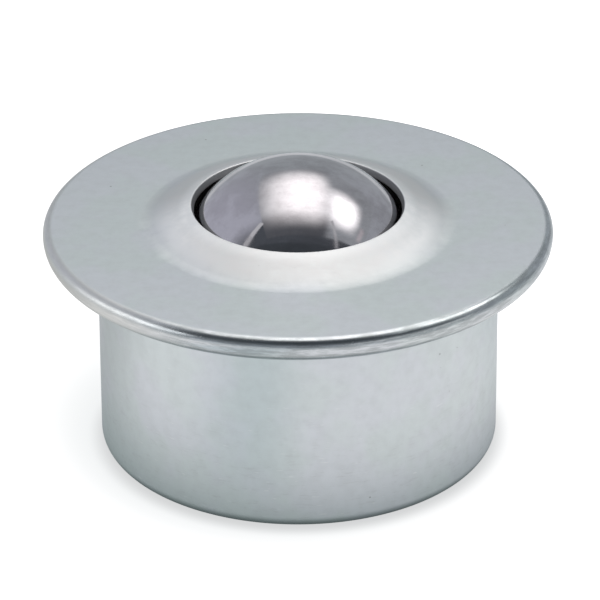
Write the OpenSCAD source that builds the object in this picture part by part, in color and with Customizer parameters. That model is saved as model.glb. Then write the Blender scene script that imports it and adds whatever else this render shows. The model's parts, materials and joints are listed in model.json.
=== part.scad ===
// Ball transfer unit with a flange. A steel load ball stands proud of a pressed collar and turns
// any way on a bed of small support balls, which lie in a hardened pan inside a drawn housing cup.
// The cover's rim is rolled round the cup's flange and holds the whole unit together.
// Millimetres, +Z up. The origin is the middle of the flat base that the unit stands on.

/* [Load ball] */
// Diameter of the load ball
ball_d = 22; // [20:0.5:24]
// Height of the load ball's top above the flange
ball_rise = 5.4; // [4.4:0.1:6.4]

/* [Support balls] */
// Diameter of each support ball
support_d = 3; // [2.5:0.1:3.2]
// Rows of support balls round the one at the bottom of the pan
row_count = 6; // [4:1:7]
// Clearance of a support ball to the load ball, and to the pan
run_gap = 0.04; // [0.02:0.01:0.08]
// Clearance between one row of support balls and the next
row_gap = 0.08; // [0.07:0.01:0.12]
// Smallest clearance between neighbours in a row
neighbour_gap = 0.03; // [0.02:0.01:0.05]

/* [Ball pan] */
// Sheet thickness of the pan
pan_t = 0.8; // [0.6:0.1:1]
// Diameter of the flat that the pan stands on
pan_flat_d = 5; // [3:0.5:8]
// Bend radius under the pan's flange
pan_bend_r = 0.4; // [0.2:0.1:0.8]
// Clearance of the pan's flange and the felt to the cup's wall
seat_gap = 0.1; // [0.05:0.05:0.3]

/* [Housing cup] */
// Outside diameter of the body, which drops into the round hole of a table or frame
body_d = 35.5; // [35:0.1:40]
// Sheet thickness of the cup
cup_t = 0.9; // [0.7:0.05:1]
// Outside radius of the base's corner
corner_r = 1.2; // [1.1:0.1:3]
// Bend radius under the cup's flange
mouth_r = 0.5; // [0.3:0.1:0.8]

/* [Cover] */
// Width by which the flange stands out beyond the body
flange_w = 4.75; // [4.25:0.05:8]
// Sheet thickness of the cover
cover_t = 0.75; // [0.5:0.05:0.8]
// Outside radius of the rim's upper edge
rim_top_r = 0.85; // [0.85:0.05:1.1]
// Width of the rim that is folded under the cup's flange
hem_w = 3; // [2.4:0.1:3.4]
// Clearance between the cup's flange and the inside of the rim
hem_gap = 0.1; // [0.05:0.05:0.3]
// Height of the collar's lip above the flange
collar_rise = 1.7; // [1:0.1:2]
// Width of the collar's slope, from lip to foot
collar_w = 3.9; // [3:0.1:4.4]
// Bend radius where the collar's slope runs out into the flange
collar_bend_r = 3; // [1:0.5:5]
// Gap between the collar's lip and the load ball
lip_gap = 1.2; // [0.9:0.1:1.5]

/* [Felt seal] */
// Thickness of the felt ring
felt_t = 1.2; // [0.8:0.1:1.6]
// Clearance between the felt ring and the load ball
felt_gap = 0.1; // [0.05:0.05:0.3]

/* [Hidden] */
$fn = 96;
// Straight steps in each quarter turn of a bend
bend_steps = 8;
// Rows near the bottom whose balls are each a node of their own
single_rows = 2;

ball_r = ball_d / 2;
support_r = support_d / 2;

// Radii measured from the load ball's centre
pitch_r = ball_r + run_gap + support_r;
race_r = pitch_r + support_r + run_gap;
pan_r = race_r + pan_t;
pan_flat_z = sqrt(pow(pan_r, 2) - pow(pan_flat_d / 2, 2));

// Heights above the base
ball_z = cup_t + pan_flat_z;
flange_z = ball_z + ball_r - ball_rise;
rim_h = 2 * cover_t + cup_t;
felt_top_z = flange_z - cover_t;
pan_top_z = felt_top_z - felt_t;
lip_z = flange_z + collar_rise;

// Radii measured from the unit's axis
body_r = body_d / 2;
flange_r = body_r + flange_w;
rim_foot_r = rim_h - rim_top_r;
cup_flange_r = flange_r - rim_foot_r - hem_gap;
seat_r = body_r - cup_t - seat_gap;
opening_r = sqrt(pow(ball_r, 2) - pow(lip_z - ball_z, 2)) + lip_gap;
foot_r = opening_r + collar_w;

// Angle at the load ball's centre from one row of support balls to the next
row_step = 2 * asin((support_d + row_gap) / 2 / pitch_r);

function single_name(row, i) = str("support_ball_row_", row, "_no_", i);
function row_name(row) = str("support_balls_row_", row);

// Radius of a row's circle, and how many support balls go round it
function row_r(row) = pitch_r * sin(row * row_step);
function row_size(row) = floor(180 / asin((support_d + neighbour_gap) / 2 / row_r(row)));

// Outline of a bent sheet. The route is one face's line, and r is its bend radius at each inner
// corner; the sheet lies on the route's left, or on its right where t is negative.
function unit(v) = v / norm(v);
function left(v) = [-v[1], v[0]];
function turned(v, a) = [v[0] * cos(a) - v[1] * sin(a), v[0] * sin(a) + v[1] * cos(a)];

function bend(before, corner, after, r, off) =
    let (
        u = unit(corner - before),
        v = unit(after - corner),
        angle = atan2(cross(u, v), u * v),
        side = sign(angle),
        centre = corner - u * r * tan(abs(angle) / 2) + left(u) * side * r,
        steps = max(2, ceil(bend_steps * abs(angle) / 90))
    )
    [for (i = [0:steps]) centre - turned(left(u), angle * i / steps) * (side * r - off)];

function face(route, r, off) =
    let (last = len(route) - 1)
    concat(
        [route[0] + left(unit(route[1] - route[0])) * off],
        [for (i = [1:last - 1]) each bend(route[i - 1], route[i], route[i + 1], r[i - 1], off)],
        [route[last] + left(unit(route[last] - route[last - 1])) * off]
    );

function reversed(points) = [for (i = [len(points) - 1:-1:0]) points[i]];
function sheet(route, r, t) = concat(face(route, r, 0), reversed(face(route, r, t)));

module housing_cup() {
    under_z = felt_top_z - cup_t;
    outside = [[0, 0], [body_r, 0], [body_r, under_z], [cup_flange_r, under_z]];
    color("#b4bbc0") rotate_extrude() polygon(sheet(outside, [corner_r, mouth_r], cup_t));
}

module cover() {
    upside = [
        [opening_r, lip_z],
        [foot_r, flange_z],
        [flange_r, flange_z],
        [flange_r, flange_z - rim_h],
        [flange_r - hem_w, flange_z - rim_h]
    ];
    color("#bcc3c8") rotate_extrude()
        polygon(sheet(upside, [collar_bend_r, rim_top_r, rim_foot_r], -cover_t));
}

// Lower half of a disc, from the axis outwards and cut flat below
module bowl_section(r, depth) {
    intersection() {
        circle(r = r);
        translate([0, -depth]) square([r, depth]);
    }
}

module ball_pan() {
    flange_under = pan_top_z - pan_t - ball_z;
    outside = [[pan_r, 0], [pan_r, flange_under], [seat_r, flange_under]];
    color("#7d8085") translate([0, 0, ball_z]) rotate_extrude() {
        difference() {
            bowl_section(pan_r, pan_flat_z);
            bowl_section(race_r, race_r);
        }
        polygon(sheet(outside, [pan_bend_r], pan_t));
    }
}

module felt_seal() {
    color("#54524c") difference() {
        translate([0, 0, pan_top_z]) cylinder(h = felt_t, r = seat_r);
        translate([0, 0, ball_z]) sphere(r = ball_r + felt_gap);
    }
}

module load_ball() {
    color("#97969f") translate([0, 0, ball_z]) sphere(r = ball_r);
}

// One support ball, a number of balls round its row
module support_ball(row, i) {
    color("#a3a6ab") translate([0, 0, ball_z]) rotate([0, 0, 360 * i / row_size(row)])
        translate([row_r(row), 0, -pitch_r * cos(row * row_step)]) sphere(r = support_r);
}

module support_ball_bottom() {
    color("#a3a6ab") translate([0, 0, ball_z - pitch_r]) sphere(r = support_r);
}

module support_row(row) {
    for (i = [1:row_size(row)]) support_ball(row, i);
}

housing_cup();
ball_pan();
felt_seal();
cover();
load_ball();
support_ball_bottom();
for (row = [1:single_rows], i = [1:row_size(row)])
    support_ball(row, i);
for (row = [single_rows + 1:row_count])
    support_row(row);
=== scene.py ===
"""Looks of a flanged ball transfer unit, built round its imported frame.

The cover, the housing cup, the felt and the load ball are modelled again with smooth bends and
stand for their nodes in the frame. The pan and the support balls keep the frame's meshes and get
their finishes here. Metres and the frame's axes: the unit stands on Z = 0, round about Z, and the
camera looks along +Y.
"""

import json
import logging
import math
import random
from dataclasses import dataclass
from enum import Enum
from typing import Any, Sequence, Union

import bmesh
import bpy
from mathutils import Matrix, Vector


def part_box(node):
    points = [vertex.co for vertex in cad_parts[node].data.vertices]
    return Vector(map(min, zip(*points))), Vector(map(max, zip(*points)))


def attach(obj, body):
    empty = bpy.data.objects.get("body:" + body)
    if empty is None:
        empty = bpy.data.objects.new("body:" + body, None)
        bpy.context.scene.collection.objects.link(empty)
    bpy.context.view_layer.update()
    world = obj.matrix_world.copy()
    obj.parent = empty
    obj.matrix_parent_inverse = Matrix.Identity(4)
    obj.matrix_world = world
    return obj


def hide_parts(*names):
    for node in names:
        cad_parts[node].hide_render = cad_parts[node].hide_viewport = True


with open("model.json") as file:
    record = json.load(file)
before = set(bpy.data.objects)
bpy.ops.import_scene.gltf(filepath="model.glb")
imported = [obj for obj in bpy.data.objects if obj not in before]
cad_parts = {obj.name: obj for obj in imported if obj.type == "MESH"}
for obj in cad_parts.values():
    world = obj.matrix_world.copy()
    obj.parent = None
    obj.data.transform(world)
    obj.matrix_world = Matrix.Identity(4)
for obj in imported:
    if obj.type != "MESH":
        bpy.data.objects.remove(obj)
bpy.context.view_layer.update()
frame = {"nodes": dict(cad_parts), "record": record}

MM = 0.001
AXIS = Vector((0.0, 0.0, 1.0))
NOISE_MEAN = 0.5
ROUND_PROFILE = 0.5
MERGED_WITHIN = 0.002 * MM
LOG = logging.getLogger("ball_transfer_unit")

Colour = tuple[float, float, float]
Triple = tuple[float, float, float]
Reach = tuple[float, float]
Operand = Union["Value", float]


# ---------------------------------------------------------------------------------------------
# Shader expressions
# ---------------------------------------------------------------------------------------------


class Value:
    """An output socket that does arithmetic: each operator adds the node that works it out."""

    def __init__(self, shader: "Shader", socket: bpy.types.NodeSocket) -> None:
        """Wraps a socket.

        Args:
            shader: The tree that the socket belongs to.
            socket: The output socket.
        """
        self.shader = shader
        self.socket = socket

    def _math(self, operation: str, *operands: Operand) -> "Value":
        """Adds one Math node.

        Args:
            operation: The node's operation.
            operands: Numbers or sockets, in the node's order.

        Returns:
            The node's result.
        """
        sockets = dict(enumerate(operands))
        return self.shader.node("ShaderNodeMath", {"operation": operation}, sockets)

    def __add__(self, other: Operand) -> "Value":
        """self + other"""
        return self._math("ADD", self, other)

    def __radd__(self, other: Operand) -> "Value":
        """other + self"""
        return self._math("ADD", other, self)

    def __sub__(self, other: Operand) -> "Value":
        """self - other"""
        return self._math("SUBTRACT", self, other)

    def __rsub__(self, other: Operand) -> "Value":
        """other - self"""
        return self._math("SUBTRACT", other, self)

    def __mul__(self, other: Operand) -> "Value":
        """self * other"""
        return self._math("MULTIPLY", self, other)

    def __rmul__(self, other: Operand) -> "Value":
        """other * self"""
        return self._math("MULTIPLY", other, self)

    def between(self, low: float, high: float) -> "Value":
        """Rises smoothly from 0 to 1 as the value goes from one bound to the other.

        Args:
            low: Where it is still 0.
            high: Where it has reached 1. It may be the smaller bound, for a fall.

        Returns:
            The step, from 0 to 1.
        """
        rising = low < high
        sockets = {
            "Value": self,
            "From Min": min(low, high),
            "From Max": max(low, high),
            "To Min": 0.0 if rising else 1.0,
            "To Max": 1.0 if rising else 0.0,
        }
        return self.shader.node("ShaderNodeMapRange", {"interpolation_type": "SMOOTHSTEP"}, sockets)


class Grain(Enum):
    """Which way a pattern is drawn out, as its scale along X, Y and Z: small is long."""

    NONE = (1.0, 1.0, 1.0)
    ACROSS = (0.12, 1.0, 1.0)
    LEVEL = (0.15, 0.15, 1.0)


class Shader:
    """A node tree that is built by adding nodes and linking their sockets."""

    def __init__(self, tree: bpy.types.NodeTree) -> None:
        """Wraps a material's or the world's tree."""
        self.tree = tree

    def node(
        self,
        kind: str,
        settings: dict[str, Any] | None = None,
        sockets: dict[str | int, Any] | None = None,
        output: str | int = 0,
    ) -> Value:
        """Adds one node.

        Args:
            kind: The node's type, such as "ShaderNodeTexNoise".
            settings: The node's own properties, set before its sockets.
            sockets: Values or links of its input sockets, by identifier or place.
            output: The output to hand back, by identifier or place.

        Returns:
            That output.
        """
        made = self.tree.nodes.new(kind)
        for name, value in (settings or {}).items():
            setattr(made, name, value)
        for key, value in (sockets or {}).items():
            self._feed(self._socket(made.inputs, key), value)
        return Value(self, self._socket(made.outputs, output))

    @staticmethod
    def _socket(sockets: Any, key: str | int) -> bpy.types.NodeSocket:
        """Finds a socket by its identifier or place."""
        if isinstance(key, int):
            return sockets[key]
        return next(s for s in sockets if s.identifier == key)

    def _feed(self, socket: bpy.types.NodeSocket, value: Any) -> None:
        """Links a socket, or sets its own value.

        Args:
            socket: An input socket.
            value: A Value to link, or a number, colour or vector.
        """
        if isinstance(value, Value):
            self.tree.links.new(value.socket, socket)
        elif socket.type == "RGBA":
            socket.default_value = (*value, 1.0)
        else:
            socket.default_value = value

    def mapping(self, place: Value, sockets: dict[str, Triple]) -> Value:
        """Moves, turns or scales a place.

        Args:
            place: The place.
            sockets: Any of "Location", "Rotation" and "Scale".

        Returns:
            The new place.
        """
        return self.node("ShaderNodeMapping", {"vector_type": "POINT"}, {"Vector": place, **sockets})

    def millimetres(self, grain: Grain = Grain.NONE) -> Value:
        """Gives the place on the piece.

        Args:
            grain: Which way a pattern there is drawn out.

        Returns:
            Object coordinates in millimetres, scaled by the grain.
        """
        place = self.node("ShaderNodeTexCoord", output="Object")
        return self.mapping(place, {"Scale": tuple(s / MM for s in grain.value)})

    def split(self, place: Value) -> tuple[Value, Value, Value]:
        """Splits a vector into its X, Y and Z."""
        parts = self.node("ShaderNodeSeparateXYZ", None, {"Vector": place}).socket.node.outputs
        return Value(self, parts["X"]), Value(self, parts["Y"]), Value(self, parts["Z"])

    def radius(self, place: Value) -> Value:
        """Gives the distance from the unit's axis.

        Args:
            place: Coordinates in millimetres.

        Returns:
            The radius in millimetres.
        """
        flat = {0: place, 1: (1.0, 1.0, 0.0)}
        level = self.node("ShaderNodeVectorMath", {"operation": "MULTIPLY"}, flat)
        return self.node("ShaderNodeVectorMath", {"operation": "LENGTH"}, {0: level}, "Value")

    def mix(self, factor: Operand, first: Value | Colour, second: Value | Colour) -> Value:
        """Mixes two colours.

        Args:
            factor: The share of the second.
            first: The colour at 0.
            second: The colour at 1.

        Returns:
            The mixed colour.
        """
        sockets = {"Factor_Float": factor, "A_Color": first, "B_Color": second}
        return self.node("ShaderNodeMix", {"data_type": "RGBA"}, sockets, "Result_Color")

    def bump(self, height: Value, rise: float, under: Value | None = None) -> Value:
        """Turns a height into a normal.

        Args:
            height: The height, from 0 to 1.
            rise: Height that stands for 1, in millimetres.
            under: A normal that this one lies over.

        Returns:
            The normal.
        """
        sockets: dict[str | int, Any] = {"Strength": 1.0, "Distance": rise * MM, "Height": height}
        if under is not None:
            sockets["Normal"] = under
        return self.node("ShaderNodeBump", None, sockets)


def principled(material: bpy.types.Material) -> bpy.types.NodeInputs:
    """Gives the input sockets of a material's Principled shader."""
    return material.node_tree.nodes["Principled BSDF"].inputs


def surface(
    name: str, numbers: dict[str, float], colours: dict[str, Colour] | None = None
) -> tuple[bpy.types.Material, Shader]:
    """Makes a material with one Principled shader.

    Args:
        name: The material's name.
        numbers: Uniform values, set on the shader's own sockets.
        colours: Uniform colours, set in the same way.

    Returns:
        The material, and its tree to add nodes to.
    """
    material = bpy.data.materials.new(name)
    material.use_nodes = True
    for key, value in numbers.items():
        principled(material)[key].default_value = value
    for key, colour in (colours or {}).items():
        principled(material)[key].default_value = (*colour, 1.0)
    return material, Shader(material.node_tree)


def glowing(name: str, colour: Colour, glow: float) -> tuple[bpy.types.Material, Shader]:
    """Makes a material that only glows.

    Args:
        name: The material's name.
        colour: The light's colour.
        glow: The light's strength.

    Returns:
        The material, and its tree to add nodes to.
    """
    numbers = {"Specular IOR Level": 0.0, "Emission Strength": glow}
    return surface(name, numbers, {"Base Color": (0.0, 0.0, 0.0), "Emission Color": colour})


def connect(material: bpy.types.Material, links: dict[str, Value]) -> bpy.types.Material:
    """Feeds a material's Principled shader.

    Args:
        material: The material.
        links: What goes to each of the shader's sockets.

    Returns:
        The same material.
    """
    for key, value in links.items():
        material.node_tree.links.new(value.socket, principled(material)[key])
    return material


# ---------------------------------------------------------------------------------------------
# Finishes
# ---------------------------------------------------------------------------------------------


@dataclass(frozen=True)
class Pattern:
    """A noise, and the values of it at which the mark that it makes starts and is full.

    The scale is in features for each millimetre, the detail in octaves of finer noise, and the
    roughness is how much those count.
    """

    scale: float
    detail: float
    roughness: float = 0.5
    start: float = 0.0
    full: float = 1.0

    def noise(self, tree: Shader, place: Value) -> Value:
        """Adds the noise.

        Args:
            tree: The material's tree.
            place: Coordinates in millimetres.

        Returns:
            The noise, from 0 to 1 and mostly near 0.5.
        """
        numbers = {"Scale": self.scale, "Detail": self.detail, "Roughness": self.roughness}
        return tree.node("ShaderNodeTexNoise", None, {"Vector": place, **numbers})

    def keep(self, noise: Value) -> Value:
        """Keeps the part of the noise that marks the surface, from 0 to 1."""
        return noise.between(self.start, self.full)

    def marks(self, tree: Shader, place: Value) -> Value:
        """Adds the noise and keeps the part that marks the surface."""
        return self.keep(self.noise(tree, place))


@dataclass(frozen=True)
class RolledRim:
    """The finish of the rolled rim: burnished and streaked along its length, with a painted highlight on
    one side.

    Radii and places are in millimetres.
    """

    start: float = 21.65
    fade: float = 0.4
    rolled: Colour = (0.345, 0.376, 0.385)
    # painted highlight: the pale colour that the rim's left side is painted with
    painted_rim_highlight: Colour = (0.660, 0.675, 0.660)
    streaks: Pattern = Pattern(3.4, 3.0, 0.6, 0.34, 0.64)
    rubbed_all_over: float = 0.20
    rubbed_in_streaks: float = 0.62
    # where the painted highlight lies across the unit, and how far it lessens the rubbed darkening and
    # burnish there
    painted_light_side: Reach = (-7.0, -17.0)
    painted_light_unrubbed: float = 0.75
    burnished: float = 0.20
    streak_sheen: float = 0.08

    def over(self, tree: Shader, place: Value, under: Value, satin: float) -> tuple[Value, Value]:
        """Lays the rim's finish and its painted highlight over the plating.

        Args:
            tree: The material's tree.
            place: Coordinates in millimetres.
            under: The plating's colour.
            satin: The plating's roughness.

        Returns:
            The colour and the roughness.
        """
        across, _, _ = tree.split(place)
        rim = tree.radius(place).between(self.start, self.start + self.fade)
        streaks = self.streaks.marks(tree, tree.millimetres(Grain.LEVEL))
        # painted highlight: the rim's left side is painted paler, and its rubbed darkening and burnish
        # are lessened there
        painted_light_share = across.between(*self.painted_light_side)
        rubbed = rim * (1.0 - painted_light_share * self.painted_light_unrubbed)
        plated = tree.mix(rim * painted_light_share, under, self.painted_rim_highlight)
        share = rubbed * (self.rubbed_all_over + streaks * self.rubbed_in_streaks)
        streaked = rim * (streaks - NOISE_MEAN) * self.streak_sheen
        sheen = satin + rubbed * (self.burnished - satin) + streaked
        return tree.mix(share, plated, self.rolled), sheen


@dataclass(frozen=True)
class DrawnCollar:
    """The finish of the collar: a neutral grey tone over the plating, painted highlights, and bare steel
    at its cut edge.

    The painted highlights are whitest at the lip and, in front, at its sides. Radii and places are in
    millimetres, and the places of the sides are squared.
    """

    lip: float = 9.36
    foot: float = 12.9
    softness: float = 1.4
    ragged_by_clouds: float = 2.4
    ragged_by_mottle: float = 1.5
    drawn: Colour = (0.636, 0.643, 0.646)
    # painted highlight: the white that the collar's lit sides and lip are painted with
    white: Colour = (0.91, 0.925, 0.93)
    bare: Colour = (0.25, 0.26, 0.265)
    cut_edge: float = 0.08
    # where the painted highlights lie: the lit sides in front, and along the lip
    lit_sides_squared: Reach = (16.0, 130.0)
    front: Reach = (4.0, -3.0)
    lip_highlight_reach: Reach = (1.5, 0.3)
    lip_highlight_share: float = 0.45
    drawn_all_over: float = 0.45
    drawn_in_mottle: float = 0.8

    def over(self, tree: Shader, place: Value, clouds: Value, mottle: Value, under: Value) -> Value:
        """Tones the collar and paints its highlights.

        Args:
            tree: The material's tree.
            place: Coordinates in millimetres.
            clouds: The plating's broad noise.
            mottle: The plating's finer noise.
            under: The plating's colour.

        Returns:
            The colour.
        """
        across, deep, _ = tree.split(place)
        radius = tree.radius(place)
        ragged = radius + (clouds - NOISE_MEAN) * self.ragged_by_clouds
        ragged = ragged + (mottle - NOISE_MEAN) * self.ragged_by_mottle
        collar = ragged.between(self.foot + self.softness, self.foot - self.softness)
        # painted highlight: the sides are whitened in front only, where the lamps catch them, and the
        # lip is whitened too
        sides = (across * across).between(*self.lit_sides_squared) * deep.between(*self.front)
        lip = (radius - self.lip).between(*self.lip_highlight_reach)
        tone_and_painted_highlights = tree.mix(sides + lip * self.lip_highlight_share, self.drawn, self.white)
        share = collar * (self.drawn_all_over + mottle * self.drawn_in_mottle)
        return tree.mix(share, under, tone_and_painted_highlights)

    def cut(self, tree: Shader, place: Value, under: Value) -> Value:
        """Bares the steel of the opening's cut edge.

        Args:
            tree: The material's tree.
            place: Coordinates in millimetres.
            under: The colour round the edge.

        Returns:
            The colour.
        """
        return tree.mix(tree.radius(place).between(self.lip + self.cut_edge, self.lip), under, self.bare)


@dataclass(frozen=True)
class Specks:
    """A few small dark specks, scattered in clusters.

    The scale is in cells for each millimetre, with at most one speck in each, and the size in cells.
    """

    colour: Colour = (0.22, 0.23, 0.24)
    share: float = 0.7
    scale: float = 0.42
    size: Reach = (0.046, 0.026)
    clusters: Pattern = Pattern(0.3, 1.0, 0.5, 0.52, 0.56)

    def over(self, tree: Shader, place: Value, under: Value) -> Value:
        """Scatters the specks over a colour.

        Args:
            tree: The material's tree.
            place: Coordinates in millimetres.
            under: The colour.

        Returns:
            The colour with the specks.
        """
        sockets = {"Vector": place, "Scale": self.scale}
        away = tree.node("ShaderNodeTexVoronoi", {"feature": "F1"}, sockets, "Distance")
        specks = away.between(*self.size) * self.clusters.marks(tree, place)
        return tree.mix(specks * self.share, under, self.colour)


@dataclass(frozen=True)
class ZincPlate:
    """Bright zinc on pressed sheet steel: satin and faintly mottled, with rubbed marks and specks.

    Scuffs lie on its lowest part. The shares say how far each mark's colour covers the one under it,
    and the swings how far each noise moves the roughness.
    """

    name: str
    grain: Grain
    satin: float
    rim: RolledRim | None = None
    collar: DrawnCollar | None = None
    specks: Specks = Specks()
    cool: Colour = (0.592, 0.650, 0.658)
    mauve: Colour = (0.608, 0.647, 0.680)
    grey: Colour = (0.44, 0.465, 0.475)
    bright: Colour = (0.74, 0.77, 0.78)
    clouds: Pattern = Pattern(0.16, 3.0, 0.5, 0.42, 0.60)
    mottle: Pattern = Pattern(0.9, 4.0, 0.6, 0.30, 0.85)
    mottle_share: float = 0.22
    mottle_swing: float = 0.10
    rubs: Pattern = Pattern(3.2, 3.0, 0.65)
    rubs_swing: float = 0.08
    scratches: Pattern = Pattern(7.0, 1.0, 0.5, 0.72, 0.78)
    scratches_share: float = 0.30
    scratches_low_share: float = 0.35
    scratches_swing: float = 0.08
    scuffs: Pattern = Pattern(4.2, 3.0, 0.65, 0.53, 0.68)
    scuffs_share: float = 0.32
    scuffed_heights: Reach = (16.0, 3.0)
    scuffed_mottle: Reach = (0.35, 0.62)
    waves: Pattern = Pattern(0.34, 2.0)
    wave_rise: float = 0.012
    rub_rise: float = 0.0012
    scratch_rise: float = 0.6
    scuff_dip: float = 0.5

    def material(self) -> bpy.types.Material:
        """Builds the finish.

        Returns:
            The material.
        """
        material, tree = surface(self.name, {"Metallic": 1.0})
        place = tree.millimetres()
        along = tree.millimetres(self.grain)
        clouds = self.clouds.noise(tree, place)
        mottle = self.mottle.noise(tree, place)
        rubs = self.rubs.noise(tree, along)
        scratches = self.scratches.marks(tree, along)
        _, _, height = tree.split(place)
        low = height.between(*self.scuffed_heights)
        scuffs = self.scuffs.marks(tree, along) * low * mottle.between(*self.scuffed_mottle)

        colour = tree.mix(self.clouds.keep(clouds), self.cool, self.mauve)
        colour = tree.mix(self.mottle.keep(mottle) * self.mottle_share, colour, self.grey)
        colour = tree.mix(scuffs * self.scuffs_share, colour, self.grey)
        shown = self.scratches_share + low * self.scratches_low_share
        colour = tree.mix(scratches * shown, colour, self.bright)
        sheen: Operand = self.satin
        if self.rim:
            colour, sheen = self.rim.over(tree, place, colour, self.satin)
        if self.collar:
            colour = self.collar.over(tree, place, clouds, mottle, colour)
        colour = self.specks.over(tree, place, colour)
        if self.collar:
            colour = self.collar.cut(tree, place, colour)

        swing = (mottle - NOISE_MEAN) * self.mottle_swing + (rubs - NOISE_MEAN) * self.rubs_swing
        roughness = swing + scratches * self.scratches_swing + sheen
        normal = tree.bump(self.waves.noise(tree, place), self.wave_rise)
        relief = rubs + scratches * self.scratch_rise - scuffs * self.scuff_dip
        normal = tree.bump(relief, self.rub_rise, normal)
        return connect(material, {"Base Color": colour, "Roughness": roughness, "Normal": normal})


@dataclass(frozen=True)
class PolishedBall:
    """Ground and polished bearing steel, with the clouds and fine rubs that rolling leaves.

    The rubs lean, and lie thicker on the handled side.
    """

    name: str
    steel: Colour = (0.585, 0.575, 0.602)
    worn: Colour = (0.365, 0.350, 0.370)
    polish: float = 0.06
    clouds: Pattern = Pattern(0.26, 5.0, 0.62, 0.44, 0.62)
    clouds_at: Triple = (14.0, 3.0, 9.0)
    clouds_share: float = 0.40
    clouds_sheen: float = 0.06
    rubs: Pattern = Pattern(1.5, 5.0, 0.7, 0.40, 0.66)
    rubs_lean: float = 38.0
    rubs_stretch: Triple = (0.25, 0.7, 1.0)
    rubs_share: float = 0.08
    handled_side: Reach = (-6.0, 3.0)
    handled_share: float = 0.20
    wisps: Pattern = Pattern(1.3, 4.0, 0.6)
    wisps_swing: float = 0.05
    wisp_rise: float = 0.0012

    def material(self) -> bpy.types.Material:
        """Builds the finish.

        Returns:
            The material.
        """
        material, tree = surface(self.name, {"Metallic": 1.0})
        place = tree.millimetres()
        across, _, _ = tree.split(place)
        leaning = (0.0, math.radians(self.rubs_lean), 0.0)
        drawn_out = tree.mapping(place, {"Rotation": leaning, "Scale": self.rubs_stretch})
        clouds = self.clouds.marks(tree, tree.mapping(place, {"Location": self.clouds_at}))
        rubs = self.rubs.marks(tree, drawn_out)
        wisps = self.wisps.noise(tree, place)
        rubbed = rubs * (self.rubs_share + across.between(*self.handled_side) * self.handled_share)
        tint = tree.mix(clouds * self.clouds_share + rubbed, self.steel, self.worn)
        roughness = self.polish + (wisps - NOISE_MEAN) * self.wisps_swing + clouds * self.clouds_sheen
        normal = tree.bump(wisps, self.wisp_rise)
        return connect(material, {"Base Color": tint, "Roughness": roughness, "Normal": normal})


@dataclass(frozen=True)
class HardenedSteel:
    """Hardened steel left as it came from the furnace, with a light film of grease."""

    name: str
    steel: Colour = (0.36, 0.355, 0.35)
    straw: Colour = (0.33, 0.29, 0.24)
    bloom: Pattern = Pattern(0.25, 4.0, 0.5, 0.40, 0.70)
    grind: Pattern = Pattern(4.0, 2.0)
    grind_rise: float = 0.003
    satin: float = 0.34
    grind_swing: float = 0.2
    grease: float = 0.3
    grease_satin: float = 0.2

    def material(self) -> bpy.types.Material:
        """Builds the finish.

        Returns:
            The material.
        """
        numbers = {"Metallic": 1.0, "Coat Roughness": self.grease_satin, "Coat Weight": self.grease}
        material, tree = surface(self.name, numbers)
        grind = self.grind.noise(tree, tree.millimetres(Grain.LEVEL))
        tint = tree.mix(self.bloom.marks(tree, tree.millimetres()), self.steel, self.straw)
        roughness = self.satin + (grind - NOISE_MEAN) * self.grind_swing
        normal = tree.bump(grind, self.grind_rise)
        return connect(material, {"Base Color": tint, "Roughness": roughness, "Normal": normal})


@dataclass(frozen=True)
class OiledFelt:
    """Dense grey wool felt, darkened and smoothed by oil, with paler fibres."""

    name: str
    wool: Colour = (0.050, 0.048, 0.042)
    oiled: Colour = (0.018, 0.017, 0.015)
    fibre: Colour = (0.10, 0.095, 0.085)
    damp: Pattern = Pattern(0.35, 3.0, 0.5, 0.35, 0.65)
    fibres: Pattern = Pattern(6.0, 5.0, 0.7, 0.55, 0.75)
    fibres_share: float = 0.4
    fibre_rise: float = 0.08
    dry: float = 0.95
    smoothed: float = 0.25
    smoothed_damp: Reach = (0.4, 0.8)
    gloss: float = 0.2
    nap: float = 0.25

    def material(self) -> bpy.types.Material:
        """Builds the finish.

        Returns:
            The material.
        """
        material, tree = surface(self.name, {"Specular IOR Level": self.gloss, "Sheen Weight": self.nap})
        place = tree.millimetres()
        fibres = self.fibres.noise(tree, place)
        damp = self.damp.noise(tree, place)
        tint = tree.mix(self.damp.keep(damp), self.wool, self.oiled)
        flecked = tree.mix(self.fibres.keep(fibres) * self.fibres_share, tint, self.fibre)
        roughness = self.dry - damp.between(*self.smoothed_damp) * self.smoothed
        normal = tree.bump(fibres, self.fibre_rise)
        return connect(material, {"Base Color": flecked, "Roughness": roughness, "Normal": normal})


# ---------------------------------------------------------------------------------------------
# Mesh building
# ---------------------------------------------------------------------------------------------


@dataclass(frozen=True)
class Corner:
    """A corner of a section's line: its radius and height, and the radius of the bend, in metres."""

    r: float
    z: float
    bend: float = 0.0


def section(corners: Sequence[Corner], bend_segments: int, closed: bool = False) -> bmesh.types.BMesh:
    """Draws a section in the XZ plane as a wire and rounds its bends.

    Args:
        corners: The line's corners, in order.
        bend_segments: Segments in each bend.
        closed: Whether the last corner joins the first.

    Returns:
        A bmesh that holds the wire.
    """
    mesh = bmesh.new()
    dots = [mesh.verts.new((c.r, 0.0, c.z)) for c in corners]
    for first, second in zip(dots, dots[1:] + dots[:1] if closed else dots[1:]):
        mesh.edges.new((first, second))
    for dot, corner in zip(dots, corners):
        if corner.bend:
            before, after = ((e.other_vert(dot).co - dot.co).normalized() for e in dot.link_edges)
            turn = math.pi - before.angle(after)
            bmesh.ops.bevel(
                mesh,
                geom=[dot],
                offset=corner.bend * math.tan(turn / 2),
                offset_type="OFFSET",
                segments=bend_segments,
                profile=ROUND_PROFILE,
                affect="VERTICES",
                material=-1,
            )
    bmesh.ops.remove_doubles(mesh, verts=mesh.verts, dist=MERGED_WITHIN)
    return mesh


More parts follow.
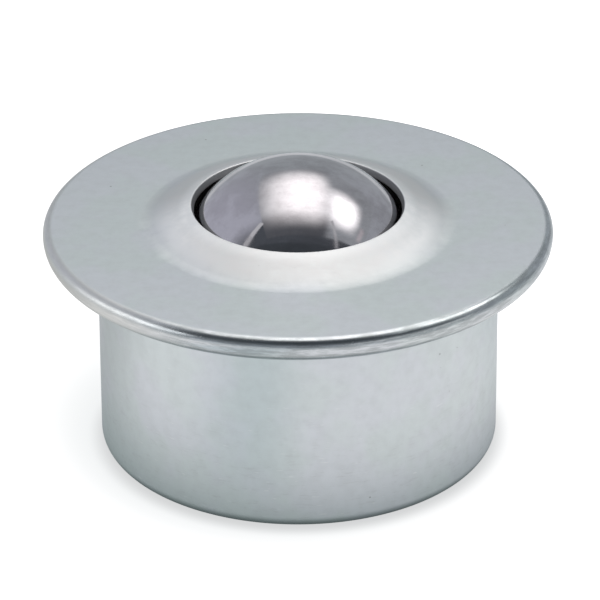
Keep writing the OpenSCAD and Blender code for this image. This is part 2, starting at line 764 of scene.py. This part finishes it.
def turn(mesh: bmesh.types.BMesh, steps: int) -> None:
    """Spins a wire a full turn about the Z axis, and closes its seam and poles.

    Args:
        mesh: The wire, which becomes a surface.
        steps: Steps in the turn.
    """
    bmesh.ops.spin(
        mesh,
        geom=mesh.verts[:] + mesh.edges[:],
        cent=(0.0, 0.0, 0.0),
        axis=AXIS,
        angle=math.tau,
        steps=steps,
        use_merge=True,
    )
    bmesh.ops.remove_doubles(mesh, verts=mesh.verts, dist=MERGED_WITHIN)
    bmesh.ops.recalc_face_normals(mesh, faces=mesh.faces)


def thicken(mesh: bmesh.types.BMesh, sheet: float) -> None:
    """Gives a surface the thickness of its sheet, on the side that its faces look away from.

    Args:
        mesh: The surface, which becomes a closed wall.
        sheet: Thickness of the sheet, in metres.
    """
    bmesh.ops.solidify(mesh, geom=mesh.faces[:], thickness=sheet)


def ease(mesh: bmesh.types.BMesh, width: float, segments: int, sharper: float = 60.0) -> None:
    """Rounds every edge that is sharper than an angle.

    Args:
        mesh: The mesh.
        width: Width of the rounding, in metres.
        segments: Segments across it.
        sharper: Smallest angle between an edge's faces, in degrees.
    """
    limit = math.radians(sharper)
    edges = [e for e in mesh.edges if e.is_manifold and e.calc_face_angle() > limit]
    bmesh.ops.bevel(
        mesh,
        geom=edges,
        offset=width,
        offset_type="OFFSET",
        segments=segments,
        profile=ROUND_PROFILE,
        affect="EDGES",
        material=-1,
    )


def piece(
    mesh: bmesh.types.BMesh, name: str, material: bpy.types.Material, slot: str, body: str, *nodes: str
) -> bpy.types.Object:
    """Turns a bmesh into a smooth piece of the unit.

    Args:
        mesh: The finished bmesh, which is freed.
        name: The piece's name.
        material: Its finish.
        slot: The record's material slot; not used.
        body: The body that it rides on.
        nodes: The nodes that it stands for.

    Returns:
        The piece's object.
    """
    data = bpy.data.meshes.new(name)
    for face in mesh.faces:
        face.smooth = True
    mesh.to_mesh(data)
    mesh.free()
    data.materials.append(material)
    made = bpy.data.objects.new(name, data)
    bpy.context.scene.collection.objects.link(made)
    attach(made, body)
    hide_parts(*nodes)
    LOG.info("%s: %d faces, rides on %s", name, len(data.polygons), body)
    return made


# ---------------------------------------------------------------------------------------------
# The unit
# ---------------------------------------------------------------------------------------------


def load_ball() -> tuple[float, float]:
    """Gives the load ball's radius and the height of its middle."""
    low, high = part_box("load_ball")
    radius = (high.z - low.z) / 2
    return radius, high.z - radius


@dataclass
class Cover:
    """The pressed cover: a raised collar round the ball, a flat flange, and a rim rolled under."""

    finish: ZincPlate
    sheet: float = 0.75 * MM
    collar_rise: float = 1.7 * MM
    collar_width: float = 3.9 * MM
    collar_bend: float = 3.0 * MM
    rim_top_bend: float = 0.85 * MM
    hem_width: float = 3.0 * MM
    cut_edge: float = 0.14 * MM
    ball_gap: float = 1.2 * MM
    bend_segments: int = 12
    edge_segments: int = 3
    steps: int = 288

    def build(self) -> bpy.types.Object:
        """Spins the cover's upper face and gives it the sheet's thickness.

        Returns:
            The cover.
        """
        low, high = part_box("cover")
        flange = high.z - self.collar_rise
        rim_height = flange - low.z
        opening = self._opening(high.z)
        corners = [
            Corner(opening, high.z),
            Corner(opening + self.collar_width, flange, self.collar_bend),
            Corner(high.x, flange, self.rim_top_bend),
            Corner(high.x, low.z, rim_height - self.rim_top_bend),
            Corner(high.x - self.hem_width, low.z),
        ]
        mesh = section(corners, self.bend_segments)
        turn(mesh, self.steps)
        thicken(mesh, self.sheet)
        ease(mesh, self.cut_edge, self.edge_segments)
        material = self.finish.material()
        return piece(mesh, "cover_shell", material, "zinc_plated_steel_cover", "housing", "cover")

    def _opening(self, lip: float) -> float:
        """Works out the radius of the collar's opening.

        Args:
            lip: Height of the lip.

        Returns:
            The radius at the lip's upper corner.
        """
        radius, middle = load_ball()
        return math.sqrt(radius**2 - (lip - middle) ** 2) + self.ball_gap


@dataclass
class HousingCup:
    """The drawn cup: a flat base, a round wall and a flange that the cover's rim is rolled round."""

    finish: ZincPlate
    sheet: float = 0.9 * MM
    base_corner: float = 1.2 * MM
    mouth_bend: float = 0.5 * MM
    cut_edge: float = 0.08 * MM
    bend_segments: int = 12
    edge_segments: int = 2
    steps: int = 288

    def build(self) -> bpy.types.Object:
        """Spins the cup's outer face and gives it the sheet's thickness.

        Returns:
            The cup.
        """
        low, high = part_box("housing_cup")
        spigot = next(m for m in frame["record"]["mounts"] if m["name"] == "body_spigot")
        wall = spigot["dims"]["r_mm"] * MM
        under = high.z - self.sheet
        corners = [
            Corner(0.0, low.z),
            Corner(wall, low.z, self.base_corner),
            Corner(wall, under, self.mouth_bend),
            Corner(high.x, under),
        ]
        mesh = section(corners, self.bend_segments)
        turn(mesh, self.steps)
        bmesh.ops.reverse_faces(mesh, faces=mesh.faces)
        thicken(mesh, self.sheet)
        ease(mesh, self.cut_edge, self.edge_segments)
        material = self.finish.material()
        return piece(mesh, "cup_shell", material, "zinc_plated_steel", "housing", "housing_cup")


@dataclass
class FeltRing:
    """The felt seal under the collar: a soft washer whose bore follows the load ball."""

    finish: OiledFelt
    soft_edge: float = 0.2 * MM
    unevenness: float = 0.03 * MM
    smoothing: float = 0.3
    ball_gap: float = 0.1 * MM
    edge_segments: int = 4
    side_cuts: int = 8
    seed: int = 7
    steps: int = 180

    def build(self) -> bpy.types.Object:
        """Spins the ring's section and roughens it.

        Returns:
            The ring.
        """
        low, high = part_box("felt_seal")
        bore_low, bore_high = self._bore(low.z), self._bore(high.z)
        corners = [
            Corner(bore_low, low.z, self.soft_edge),
            Corner(high.x, low.z, self.soft_edge),
            Corner(high.x, high.z, self.soft_edge),
            Corner(bore_high, high.z, self.soft_edge),
        ]
        mesh = section(corners, self.edge_segments, closed=True)
        sides = [e for e in mesh.edges if e.calc_length() > MM]
        bmesh.ops.subdivide_edges(mesh, edges=sides, cuts=self.side_cuts)
        turn(mesh, self.steps)
        draw = random.Random(self.seed)
        for dot in mesh.verts:
            inwards = -draw.random() * self.unevenness
            dot.co += dot.normal * inwards
        axes = {"use_axis_x": True, "use_axis_y": True, "use_axis_z": True}
        bmesh.ops.smooth_vert(mesh, verts=mesh.verts, factor=self.smoothing, **axes)
        return piece(mesh, "felt_ring", self.finish.material(), "felt", "housing", "felt_seal")

    def _bore(self, height: float) -> float:
        """Works out the radius of the bore at a height.

        Args:
            height: Height above the base.

        Returns:
            The radius, clear of the load ball.
        """
        radius, middle = load_ball()
        return math.sqrt((radius + self.ball_gap) ** 2 - (height - middle) ** 2)


@dataclass
class LoadBall:
    """The load ball, ground round and polished."""

    finish: PolishedBall
    subdivisions: int = 7

    def build(self) -> bpy.types.Object:
        """Makes the ball at the frame's place and size.

        Returns:
            The ball.
        """
        low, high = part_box("load_ball")
        mesh = bmesh.new()
        centre = Matrix.Translation((low + high) / 2)
        radius = (high.z - low.z) / 2
        bmesh.ops.create_icosphere(mesh, subdivisions=self.subdivisions, radius=radius, matrix=centre)
        return piece(mesh, "ball", self.finish.material(), "polished_steel", "load_ball", "load_ball")


@dataclass
class Bearing:
    """The hidden bearing: the hardened pan and the support balls, which keep the frame's meshes."""

    pan_finish: HardenedSteel
    ball_finish: PolishedBall
    prefix: str = "support_ball"

    def dress(self) -> None:
        """Gives the pan and each support ball its finish."""
        self._dress("ball_pan", self.pan_finish.material())
        shared = self.ball_finish.material()
        for name in sorted(frame["nodes"]):
            if name.startswith(self.prefix):
                self._dress(name, shared)

    @staticmethod
    def _dress(name: str, material: bpy.types.Material) -> None:
        """Gives a frame node a finish.

        Args:
            name: The node's name.
            material: Its finish.
        """
        node = frame["nodes"][name]
        node.data.materials.clear()
        node.data.materials.append(material)
        LOG.info("%s: keeps its mesh, wears %s", name, material.name)


# ---------------------------------------------------------------------------------------------
# Studio
# ---------------------------------------------------------------------------------------------


def direction(azimuth: float, elevation: float) -> Vector:
    """Points a direction.

    Args:
        azimuth: Degrees from +Y towards +X.
        elevation: Degrees above the floor.

    Returns:
        The unit vector.
    """
    turned, raised = math.radians(azimuth), math.radians(elevation)
    level = math.cos(raised)
    return Vector((level * math.sin(turned), level * math.cos(turned), math.sin(raised)))


def stage_piece(mesh: bmesh.types.BMesh, name: str, material: bpy.types.Material) -> bpy.types.Object:
    """Turns a bmesh into a piece of the studio.

    Args:
        mesh: The finished bmesh, which is freed.
        name: The piece's name.
        material: Its material.

    Returns:
        The piece's object.
    """
    data = bpy.data.meshes.new(name)
    mesh.to_mesh(data)
    mesh.free()
    data.materials.append(material)
    made = bpy.data.objects.new(name, data)
    bpy.context.scene.collection.objects.link(made)
    return made


@dataclass(frozen=True)
class Span:
    """A stretch that is lit: it rises over its first two places and falls over its last two."""

    dark_from: float
    full_from: float
    full_to: float
    dark_to: float

    def over(self, place: Value) -> Value:
        """Works out the share of the light.

        Args:
            place: A coordinate.

        Returns:
            The share, from 0 to 1.
        """
        return place.between(self.dark_from, self.full_from) * place.between(self.dark_to, self.full_to)


@dataclass(frozen=True)
class Patch:
    """A soft patch of colour on a card, spanned across and along it."""

    across: Span
    along: Span
    colour: Colour

    def over(self, tree: Shader, across: Value, along: Value, under: Value | Colour) -> Value:
        """Lays the patch over a colour.

        Args:
            tree: The card's tree.
            across: The place across the card.
            along: The place along it.
            under: The colour round the patch.

        Returns:
            The colour with the patch.
        """
        return tree.mix(self.across.over(across) * self.along.over(along), under, self.colour)


@dataclass
class Ceiling:
    """A glowing card above the unit.

    Its height above the ball is in metres, and its places are shares of that height.
    """

    left: float = -0.56
    right: float = 1.60
    front: float = -0.45
    back: float = 1.50
    height: float = 0.8
    grey: Colour = (0.40, 0.42, 0.44)
    patches: tuple[Patch, ...] = (
        Patch(Span(-0.80, -0.70, 0.40, 0.55), Span(-2.0, -1.0, -0.15, 0.10), (0.125, 0.131, 0.144)),
        Patch(Span(-0.74, 0.10, 0.20, 0.52), Span(-0.36, 0.18, 0.58, 1.48), (2.14, 2.06, 2.02)),
        Patch(Span(0.22, 0.74, 0.76, 1.26), Span(-0.30, 0.22, 0.30, 0.86), (3.3, 3.2, 3.15)),
        Patch(Span(1.18, 1.32, 1.36, 1.50), Span(-0.32, -0.18, 0.06, 0.20), (0.60, 0.56, 0.58)),
    )

    def build(self, ball: Vector) -> bpy.types.Object:
        """Hangs the card.

        Args:
            ball: The middle of the load ball.

        Returns:
            The card.
        """
        mesh = bmesh.new()
        bmesh.ops.create_grid(mesh, x_segments=1, y_segments=1, size=0.5)
        size = Vector((self.right - self.left, self.back - self.front, 0.0))
        middle = Vector((self.left + self.right, self.front + self.back, 0.0)) / 2
        bmesh.ops.scale(mesh, vec=size, verts=mesh.verts)
        bmesh.ops.translate(mesh, vec=middle, verts=mesh.verts)
        card = stage_piece(mesh, "ceiling", self._material())
        card.location = ball + AXIS * self.height
        card.scale = (self.height, self.height, 1.0)
        card.visible_camera = False
        return card

    def _material(self) -> bpy.types.Material:
        """Makes the glow: the patches over the grey.

        Returns:
            The material.
        """
        material, tree = glowing("ceiling", self.grey, 1.0)
        place = tree.node("ShaderNodeTexCoord", output="Object")
        across, along, _ = tree.split(place)
        glow: Value | Colour = self.grey
        for patch in self.patches:
            glow = patch.over(tree, across, along, glow)
        return connect(material, {"Emission Color": glow})


@dataclass(frozen=True)
class Card:
    """A plain glowing card round the unit.

    Its corners are directions from the middle of the load ball, each an azimuth and an elevation in
    degrees, and its distance is theirs from there.
    """

    name: str
    corners: tuple[Reach, ...]
    glow: float
    colour: Colour = (1.0, 1.0, 1.02)
    distance: float = 0.7

    def build(self, ball: Vector) -> bpy.types.Object:
        """Places the card.

        Args:
            ball: The middle of the load ball.

        Returns:
            The card.
        """
        mesh = bmesh.new()
        mesh.faces.new([mesh.verts.new(ball + direction(*c) * self.distance) for c in self.corners])
        card = stage_piece(mesh, self.name, glowing(self.name, self.colour, self.glow)[0])
        card.visible_camera = False
        return card


@dataclass
class Studio:
    """The white floor, the soft lights and the plain surroundings.

    A reach is where a change starts and where it is complete: in millimetres from the unit's axis on
    the floor and the table, and in the parts of a unit direction in the surroundings.
    """

    floor_size: float = 6.0
    floor_base: Colour = (0.80, 0.78, 0.78)
    # painted shadow: the floor's glow is darker near the unit, fading out over floor_fade
    floor_painted_shadow: Colour = (0.58, 0.575, 0.58)
    floor_far: Colour = (0.75, 0.75, 0.75)
    floor_fade: Reach = (18.0, 31.0)
    floor_drop: float = 0.02 * MM
    table_size: float = 1.6
    back: Colour = (0.410, 0.440, 0.458)
    left: Colour = (0.56, 0.57, 0.64)
    right: Colour = (0.44, 0.46, 0.49)
    front_low: Colour = (0.36, 0.38, 0.41)
    front_high: Colour = (0.07, 0.08, 0.09)
    right_turn: Reach = (0.10, 0.70)
    left_turn: Reach = (-0.10, -0.70)
    front_turn: Reach = (0.05, -0.35)
    front_climb: Reach = (0.05, 0.75)
    white: Colour = (1.09, 1.06, 1.065)
    # painted shadow on the table's glow: round the unit's foot, and at its contact
    foot: Colour = (0.34, 0.385, 0.385)
    foot_shadow_reach: Reach = (14.0, 33.0)
    foot_shadow_skew: float = 0.07
    contact_shadow: Colour = (0.10, 0.12, 0.12)
    contact_shadow_reach: Reach = (17.0, 19.2)
    distant: Colour = (0.66, 0.68, 0.70)
    distant_reach: Reach = (50.0, 110.0)
    # painted shade: darker patches on the table's glow
    shades: tuple[Patch, ...] = (
        Patch(Span(-30.0, -18.0, -10.0, 2.0), Span(-90.0, -60.0, -30.0, -18.0), (0.82, 0.86, 0.88)),
        Patch(Span(-900.0, -800.0, -24.0, 0.0), Span(-14.0, 14.0, 800.0, 900.0), (0.62, 0.62, 0.62)),
        Patch(Span(0.0, 24.0, 800.0, 900.0), Span(-4.0, 20.0, 800.0, 900.0), (0.85, 0.86, 0.88)),
    )
    cards: tuple[Card, ...] = (
        Card(
            "open_front",
            ((-103.5, 61.1), (-160.0, 79.5), (88.3, 69.5), (130.4, 44.1), (-114.5, 37.5)),
            0.112,
            (0.86, 0.95, 1.08),
            1.4,
        ),
        Card("left_seam", ((-98.4, 59.3), (-103.5, 61.1), (-114.5, 37.5), (-108.5, 35.3)), 0.7),
        Card("right_seam", ((101.0, 62.8), (97.0, 61.5), (127.2, 42.8), (130.4, 44.1)), 0.6),
        Card(
            "left_window",
            ((-78.0, 2.0), (-84.0, 26.0), (-108.0, 32.0), (-130.0, 25.0), (-128.0, 6.0)),
            2.2,
        ),
        Card("right_window", ((100.0, 1.0), (102.0, 16.0), (160.0, 16.0), (160.0, 1.0)), 0.7),
    )

    def build(self, ball: Vector) -> None:
        """Builds the studio round the unit.

        Args:
            ball: The middle of the load ball.
        """
        self._floor()
        self._table()
        self._world()
        Ceiling().build(ball)
        for card in self.cards:
            card.build(ball)

    def _floor(self) -> None:
        """Lays the white floor that the camera sees, with the unit's cast shadow and a painted shadow on
        it.
        """
        mesh = bmesh.new()
        bmesh.ops.create_grid(mesh, x_segments=1, y_segments=1, size=self.floor_size / 2)
        numbers = {"Specular IOR Level": 0.0, "Roughness": 1.0, "Emission Strength": 1.0}
        material, tree = surface("floor", numbers, {"Base Color": self.floor_base})
        radius = tree.radius(tree.millimetres())
        # painted shadow: the glow is darker near the unit's axis
        glow = tree.mix(radius.between(*self.floor_fade), self.floor_painted_shadow, self.floor_far)
        floor = stage_piece(mesh, "floor", connect(material, {"Emission Color": glow}))
        floor.location = -AXIS * self.floor_drop
        floor.visible_glossy = False
        floor.visible_diffuse = False
        floor.visible_shadow = False

    def _table(self) -> None:
        """Lays the glowing table that lights the unit from below, with painted shade round the unit's
        foot.
        """
        mesh = bmesh.new()
        bmesh.ops.create_grid(mesh, x_segments=1, y_segments=1, size=self.table_size / 2)
        material, tree = glowing("table", self.white, 1.0)
        place = tree.millimetres()
        across, along, _ = tree.split(place)
        radius = tree.radius(place)
        lit: Value | Colour = self.white
        for shade in self.shades:
            lit = shade.over(tree, across, along, lit)
        # painted shadow: darker round the foot and at the contact
        lit = tree.mix((radius + across * self.foot_shadow_skew).between(*self.foot_shadow_reach), self.foot, lit)
        lit = tree.mix(radius.between(*self.contact_shadow_reach), self.contact_shadow, lit)
        lit = tree.mix(radius.between(*self.distant_reach), lit, self.distant)
        table = stage_piece(mesh, "table", connect(material, {"Emission Color": lit}))
        table.location = -AXIS * self.floor_drop
        table.visible_camera = False

    def _world(self) -> None:
        """Lights the surroundings: brighter on the left, and dark above the camera."""
        world = bpy.data.worlds.new("surroundings")
        world.use_nodes = True
        tree = Shader(world.node_tree)
        ray = tree.node("ShaderNodeTexCoord", output="Generated")
        across, along, up = tree.split(ray)
        sides = tree.mix(across.between(*self.right_turn), self.back, self.right)
        behind = tree.mix(across.between(*self.left_turn), sides, self.left)
        before = tree.mix(up.between(*self.front_climb), self.front_low, self.front_high)
        around = tree.mix(along.between(*self.front_turn), behind, before)
        background = world.node_tree.nodes["Background"]
        world.node_tree.links.new(around.socket, background.inputs["Color"])
        bpy.context.scene.world = world


@dataclass(frozen=True)
class Viewpoint:
    """The camera: where it stands round the middle of the flange, and how it looks down.

    Angles are in degrees, and the lens and the sensor in millimetres.
    """

    elevation: float = 26.92
    distance: float = 396.3 * MM
    pitch: float = 27.942
    turned: float = 0.024
    roll: float = -0.24
    lens: float = 269.63
    sensor: float = 36.0

    def build(self, middle: Vector) -> bpy.types.Object:
        """Makes the camera and sets it as the scene's.

        Args:
            middle: The middle of the flange's upper face.

        Returns:
            The camera.
        """
        data = bpy.data.cameras.new("camera")
        data.lens = self.lens
        data.sensor_width = self.sensor
        camera = bpy.data.objects.new("camera", data)
        aim = Matrix.Rotation(-math.radians(self.turned), 4, "Z")
        tilt = Matrix.Rotation(math.radians(90.0 - self.pitch), 4, "X")
        roll = Matrix.Rotation(math.radians(self.roll), 4, "Z")
        place = Matrix.Translation(middle + direction(180.0, self.elevation) * self.distance)
        camera.matrix_world = place @ aim @ tilt @ roll
        bpy.context.scene.collection.objects.link(camera)
        bpy.context.scene.camera = camera
        return camera


def main() -> None:
    """Builds the unit, piece by piece, and the studio round it."""
    logging.basicConfig(level=logging.INFO, format="%(message)s")
    cover = Cover(ZincPlate("zinc_cover", Grain.ACROSS, 0.50, RolledRim(), DrawnCollar()))
    cover.build()
    HousingCup(ZincPlate("zinc_cup", Grain.LEVEL, 0.40)).build()
    FeltRing(OiledFelt("oiled_felt")).build()
    LoadBall(PolishedBall("polished_ball")).build()
    Bearing(HardenedSteel("hardened_pan"), PolishedBall("support_ball_steel")).dress()

    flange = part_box("cover")[1].z - cover.collar_rise
    low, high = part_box("load_ball")
    Studio().build((low + high) / 2)
    Viewpoint().build(Vector((0.0, 0.0, flange)))
    bpy.context.scene.view_settings.view_transform = "Standard"


if __name__ == "__main__":
    main()
